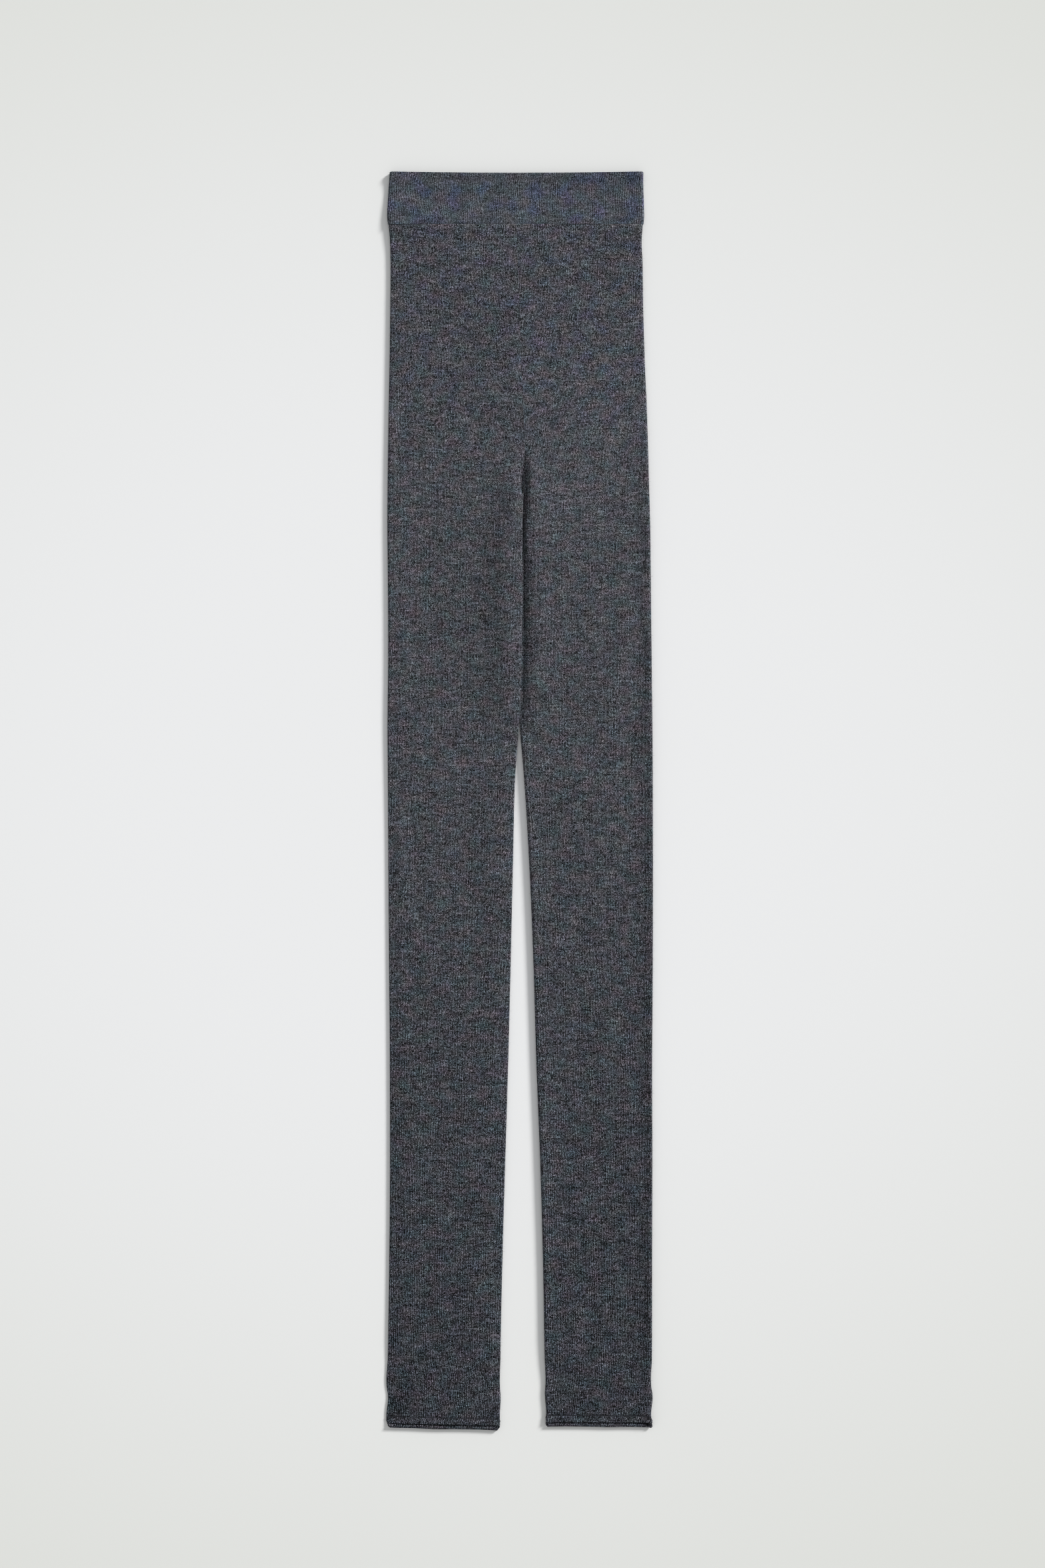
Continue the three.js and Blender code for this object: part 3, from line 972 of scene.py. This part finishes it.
# %% Raise the ribs
UNDERSIDE = 0.4 * MM  # what lies lower than this rests on the table and stays flat
ribs_group, ribs, entry = geometry_tree("ribs", {"Depth": "Float", "Material": "Material"})
wale = ribs.attribute("wale", "FLOAT")
lift = (1 - (wale * (2 * math.pi)).cosine()) * 0.5 * entry.out("Depth")
height = ribs.parts(ribs.node("GeometryNodeInputPosition")).out("Z")
lift = lift * height.above(UNDERSIDE)
offset = ribs.scaled(ribs.node("GeometryNodeInputNormal"), lift)
raised = ribs.node("GeometryNodeSetPosition", {"Geometry": entry, "Offset": offset})
finish_tree(ribs, raised, entry)
waistband = grown("waistband_cloth", plain_band, ribs_group, {"Depth": 0.22 * MM, "Material": band_finish})
bpy.data.objects.remove(plain_band)

# %% [markdown]
# ### Linking stitches
#
# A linking machine joins the band to the legs with a fine chain loop through every wale. The same chain
# holds the turned hem. One tree serves both: it walks along a path and drops a small arched stitch at each
# step, leaning slightly, as thread does under tension.

# %% A chain of stitches along a path
chain_group, chain, entry = geometry_tree("stitch_chain", {
    "Spacing": "Float", "Length": "Float", "Thread": "Float", "Material": "Material"})
length = entry.out("Length")
thread = thread_form(chain, [
    chain.vector(length * -0.5, 0.0),
    chain.vector(length * -0.3, length * -0.12, length * 0.16),
    chain.vector(length * 0.3, length * 0.12, length * 0.16),
    chain.vector(length * 0.5, 0.0),
], 5, entry.out("Thread"), 6)
walk = chain.node("GeometryNodeMeshToCurve", {"Mesh": entry})
steps = chain.node("GeometryNodeResampleCurve", {
    "Curve": walk, "Length": entry.out("Spacing")}, mode="LENGTH")
heading = chain.node("FunctionNodeAlignRotationToVector", {
    "Vector": chain.node("GeometryNodeInputTangent")}, axis="X")
upright = chain.node("FunctionNodeAlignRotationToVector", {
    "Rotation": heading, "Vector": chain.attribute("out", "FLOAT_VECTOR")}, axis="Z", pivot_axis="X")
stitched = chain.node("GeometryNodeInstanceOnPoints", {
    "Points": steps, "Instance": thread, "Rotation": upright})
finish_tree(chain, stitched, entry)


LOWEST_THREAD = 0.35  # in mm: a lower stitch would sink into the table


def stitch_line(name, skin, row, rise, values):
    """A chain along one row of a skin, standing this far out from it. The closed path that it follows
    remembers the way out of the cloth at each point."""
    out = normals_of(skin, np.ones(len(skin)))[row, :-1]
    points = skin[row, :-1] + out * rise
    points[:, 2] = np.maximum(points[:, 2], LOWEST_THREAD)
    count = len(points)
    mesh = bpy.data.meshes.new(f"{name}_path")
    mesh.from_pydata((points * MM).tolist(), [(k, (k + 1) % count) for k in range(count)], [])
    mesh.attributes.new("out", "FLOAT_VECTOR", "POINT").data.foreach_set("vector", out.ravel())
    path = add_object(mesh.name, mesh)
    made = grown(name, path, chain_group, values)
    bpy.data.objects.remove(path)
    return made


link_rows = BAND_BOTTOM + np.array([-1, -0.1, 1])
waist_linking = stitch_line("waist_linking", band_skin(link_rows, columns=400), 1, -0.35, {
    "Spacing": BAND_PITCH * MM, "Length": 1.3 * MM, "Thread": 0.17 * MM, "Material": band_finish})


def hem_stitching(leg):
    """The hem's line of stitches, just proud of the cloth."""
    start = hem_end(leg) - HEM_HEIGHT
    skin = leg_skin(leg, start + np.array([-1, 0, 1]), leg_columns)[0]
    return stitch_line(f"{leg.name}_hem_stitches", skin, 1, 0.02, {
        "Spacing": float(wale_pitch(start)) * MM, "Length": 1.35 * MM, "Thread": 0.16 * MM,
        "Material": leg_finish})


right_stitches, left_stitches = hem_stitching(right), hem_stitching(left)

# %% [markdown]
# ### Fuzz
#
# Wool sheds a thin halo of fibre ends, which shows most along an outline. So the tree scatters a few over the
# faces and many more round the folds, where the surface turns away. Blender's hair system could do this
# too, but the export keeps only meshes.

# %% Scatter short fibres
FACES_UP, FEWER = 0.8, 0.95  # where a normal's z is above the first, this share of the fibres is left out
FACES_DOWN = -0.2  # where it is below this, none grows
NEAR_TABLE = 0.9 * MM

fuzz_group, fuzz, entry = geometry_tree("fuzz", {
    "Fibres per m2": "Float", "Length": "Float", "Thickness": "Float", "Seed": "Int",
    "Material": "Material"})
upward = fuzz.parts(fuzz.node("GeometryNodeInputNormal")).out("Z")
height = fuzz.parts(fuzz.node("GeometryNodeInputPosition")).out("Z")
outside = fuzz.attribute("outside", "BOOLEAN")
share = (1 - FEWER * upward.above(FACES_UP)) * upward.above(FACES_DOWN) * height.above(NEAR_TABLE)
placed = fuzz.node("GeometryNodeDistributePointsOnFaces", {
    "Mesh": entry, "Selection": outside, "Density": entry.out("Fibres per m2") * share,
    "Seed": entry.out("Seed")}, distribute_method="RANDOM")
length = entry.out("Length")
thread = thread_form(fuzz, [
    (0.0, 0.0, -0.1 * MM),
    fuzz.vector(0.0, 0.0, length * 0.45),
    fuzz.vector(length * 0.2, 0.0, length * 0.75),
    fuzz.vector(length * 0.5, 0.0, length * 0.85),
], 3, entry.out("Thickness"), 3)
stray = fuzz.node("FunctionNodeRandomValue", {
    "Min": (-0.9, -0.9, -0.2), "Max": (0.9, 0.9, 0.9), "Seed": 5}, data_type="FLOAT_VECTOR")
aim = fuzz.vector_maths("ADD", placed.out("Normal"), stray)
turned = fuzz.node("FunctionNodeAlignRotationToVector", {"Vector": aim}, axis="Z")
sizes = fuzz.node("FunctionNodeRandomValue", {"Min": 0.5, "Max": 1.5, "Seed": 9}, data_type="FLOAT")
hairs = fuzz.node("GeometryNodeInstanceOnPoints", {
    "Points": placed, "Instance": thread, "Rotation": turned, "Scale": sizes})
finish_tree(fuzz, hairs, entry)

# %% [markdown]
# A fibre has no stitches, so it gets a finish of its own: the yarn's greys, varied from place to place.

# %% The fibres' finish, and the fibres
fibre_finish, wool = start_material("wool_fibre")
greys = wool.noise(wool.node("ShaderNodeTexCoord").out("Object"), scale=900.0)
shade = wool.scaled(linear(118, 120, 126), 0.4 + 1.2 * greys)
end_material(wool, {"Base Color": shade, **WOOL})

tufts = []
for seed, piece in enumerate((waistband, right_leg, left_leg, right_hem, left_hem)):
    tufts.append(grown(piece.name.replace("cloth", "fuzz"), piece, fuzz_group, {
        "Fibres per m2": 160000.0, "Length": 1.5 * MM, "Thickness": 0.022 * MM, "Seed": seed,
        "Material": fibre_finish}))

# %% [markdown]
# ## Each piece on the garment's body
#
# Every cloth piece replaces the solid whose name it has, and rides on the garment's one body. The cut of
# each tube, all round, is printed, so a leg's width is twice what shows from the front.


def leg_cut(leg):
    """Width, length and area of the cloth in a leg's tube, all round, in metres and square metres."""
    down = np.arange(BAND_BOTTOM, hem_end(leg) - HEM_HEIGHT, 1.0)
    width = 2 * np.abs(leg.inner(down) - leg.outer(down)) * MM
    return (float(width.max()), len(down) * MM), float(width.sum() * MM)


for slot, pieces in [
    ("band_knit", [waistband, waist_linking]),
    ("leg_knit", [right_leg, left_leg]),
    ("hem_knit", [right_hem, left_hem, right_stitches, left_stitches]),
    ("leg_knit", tufts),
]:
    for piece in pieces:
        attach(piece, "root")
        if piece.name.endswith("_cloth"):
            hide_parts(piece.name.removesuffix("_cloth"))

band_width = 2 * float(band_high_x(BAND_BOTTOM) - band_low_x(BAND_BOTTOM)) * MM
print("cut all round, metres: band", [round(v, 3) for v in (band_width, BAND_BOTTOM * MM)])
for leg, cloth, rests_on, with_pieces in [
    (right, right_leg, ["floor", "left_leg_cloth"], [right_hem, right_stitches]),
    (left, left_leg, ["floor"], [left_hem, left_stitches]),
]:
    flat, area = leg_cut(leg)
    print(leg.name, "leg", [round(v, 3) for v in (*flat, area)])

# %% [markdown]
# ## The studio
#
# The leggings lie on a pale floor, painted lighter in its middle and darker towards its edges, as painted
# light falling off. One large soft light comes from the upper right, low enough to give the folds a soft
# shadow on their left. A sun light with a wide angle does this evenly over the whole length, where a nearby
# lamp would fade towards the ankles.

# %% Floor, light and camera
floor_mesh = bpy.data.meshes.new("floor")
FLOOR_HALF = 400  # metres: large enough to reach past any view's horizon
corners = [(-1, -1), (1, -1), (1, 1), (-1, 1)]
floor_mesh.from_pydata([(x * FLOOR_HALF, y * FLOOR_HALF, 0) for x, y in corners], [], [(0, 1, 2, 3)])
floor = add_object("floor", floor_mesh)
floor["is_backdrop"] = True

# painted light: the floor's colour is lighter in the middle and darker towards its edges, as a pool of light
pale_floor, paint = start_material("pale_floor")
floor_x = paint.parts(paint.node("ShaderNodeTexCoord").out("Object"))
away = (((floor_x + 0.05) / 0.8) ** 2.0 + ((floor_x.out("Y") - 0.03) / 0.66) ** 2.0) ** 0.5
shade = paint.mixed(paint.smooth(away, 0.25, 1.6), linear(231, 231, 231), linear(212, 213, 206))
end_material(paint, {"Base Color": shade, "Roughness": 0.9, "Specular IOR Level": 0.1})
floor_mesh.materials.append(pale_floor)

KEY_ELEVATION, KEY_AZIMUTH = 24, 38  # degrees above the floor, and from +X towards +Y
KEY_STRENGTH, KEY_WIDTH = 3.9, 13
SKY_COLOUR, SKY_STRENGTH = (0.97, 0.985, 1.0, 1), 0.55
key = bpy.data.lights.new("key", "SUN")
key.energy = KEY_STRENGTH
key.angle = math.radians(KEY_WIDTH)
turns = (90 - KEY_ELEVATION, 0, 90 + KEY_AZIMUTH)
add_object("key", key).rotation_euler = [math.radians(angle) for angle in turns]

scene.world = bpy.data.worlds.new("studio")
scene.world.use_nodes = True
sky = scene.world.node_tree.nodes["Background"]
sky.inputs["Color"].default_value = SKY_COLOUR
sky.inputs["Strength"].default_value = SKY_STRENGTH

LENS, SENSOR = 70, 36
FRAME_LENGTH = 1.270  # how much of the table's length the picture takes in, in metres
MIDDLE = (0.0023, 0.0140, 0.0042)  # the place that the camera looks straight down on, in metres
camera = bpy.data.cameras.new("camera")
camera.lens = LENS
camera.sensor_width = SENSOR
scene.camera = add_object("camera", camera)
scene.camera.location = (MIDDLE[0], MIDDLE[1], MIDDLE[2] + FRAME_LENGTH * LENS / SENSOR)
scene.view_settings.view_transform = "Standard"
scene.cycles.filter_width = 1.15  # a sharp lens: fine knit keeps its grain

# %% [markdown]
# ## Closing
#
# The visual model's box and the CAD box are both printed. The visual model may stand only a little
# outside the CAD box.

# %% Print the sizes of both boxes
low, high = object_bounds()
sizes = {"cad": [list(cad_low), list(cad_high)], "visual": [list(low), list(high)]}
for label, box in sizes.items():
    print(label, "box, mm:", [[round(v / MM, 1) for v in corner] for corner in box])
